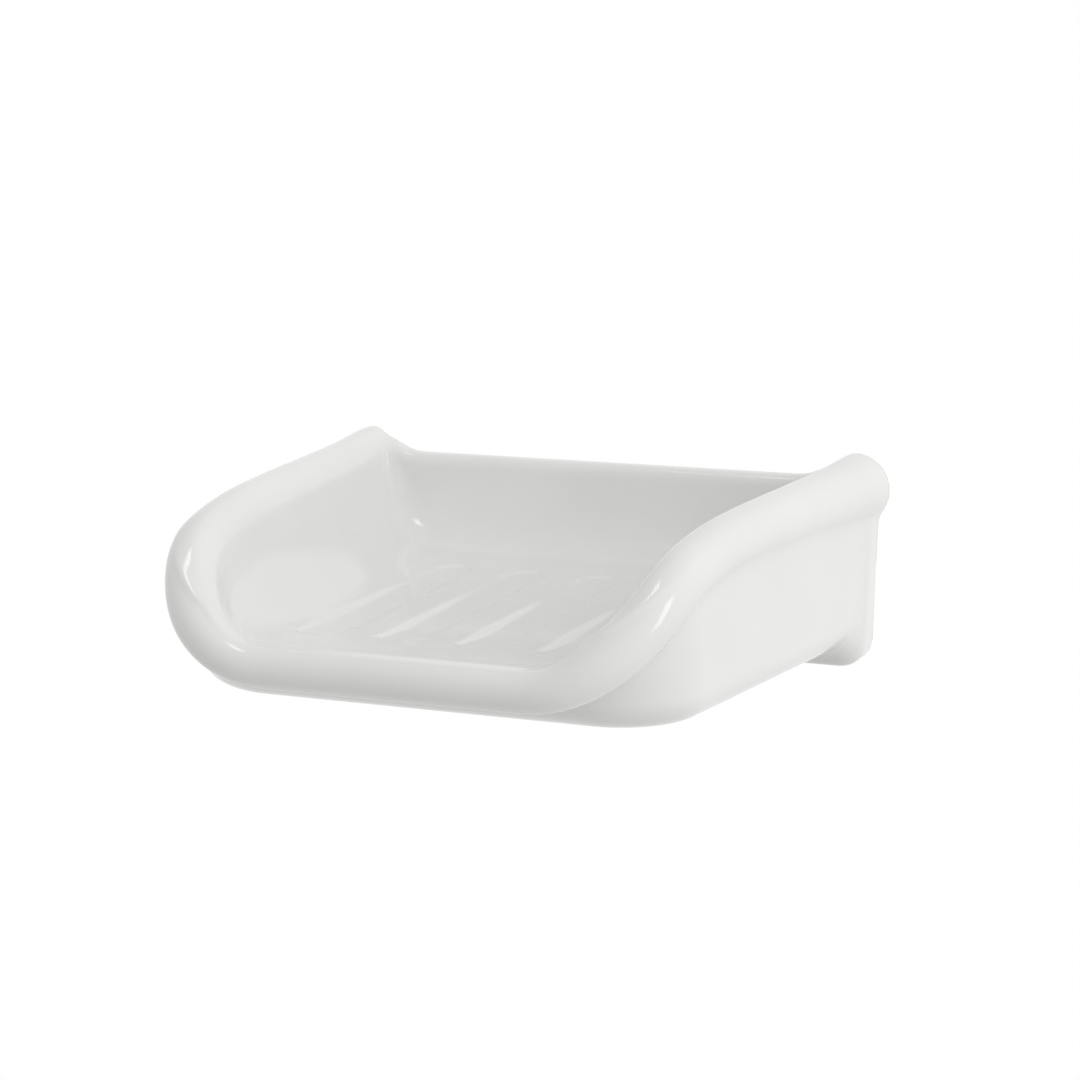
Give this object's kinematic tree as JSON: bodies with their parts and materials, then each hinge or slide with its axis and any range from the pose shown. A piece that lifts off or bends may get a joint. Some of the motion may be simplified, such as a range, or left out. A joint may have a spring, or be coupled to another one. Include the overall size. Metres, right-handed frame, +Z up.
{
  "type": "wall-hung soap dish",
  "caption": "Open-fronted china soap dish with a rolled rim and ribbed drain floor that lifts off a concealed screwed wall hanger.",
  "frame": {"origin": "on the surface of the wall, midway between the two screws and at their height", "axes": "+X to the right seen from the front, +Y into the wall, +Z up; the dish stands out from the wall towards -Y"},
  "size_m": [0.14, 0.1568, 0.0493],
  "materials": {
    "glazed_china": "gloss white glaze",
    "stainless_steel": "satin",
    "nylon": "moulded, matt",
    "silicone": "translucent, soft"
  },
  "bodies": {
    "wall_fixing": {"wall_bracket": "stainless_steel", "screw_left": "stainless_steel", "washer_left": "stainless_steel", "plug_left": "nylon", "screw_right": "stainless_steel", "washer_right": "stainless_steel", "plug_right": "nylon"},
    "soap_dish": {"dish": "glazed_china", "pad_left_upper": "silicone", "pad_right_upper": "silicone", "pad_left_lower": "silicone", "pad_right_lower": "silicone"}
  },
  "joints": [
    {"name": "dish_lift", "type": "slide", "parent": "wall_fixing", "child": "soap_dish", "axis": [0, 0, 1], "range_m": [0, 0.006]}
  ]
}
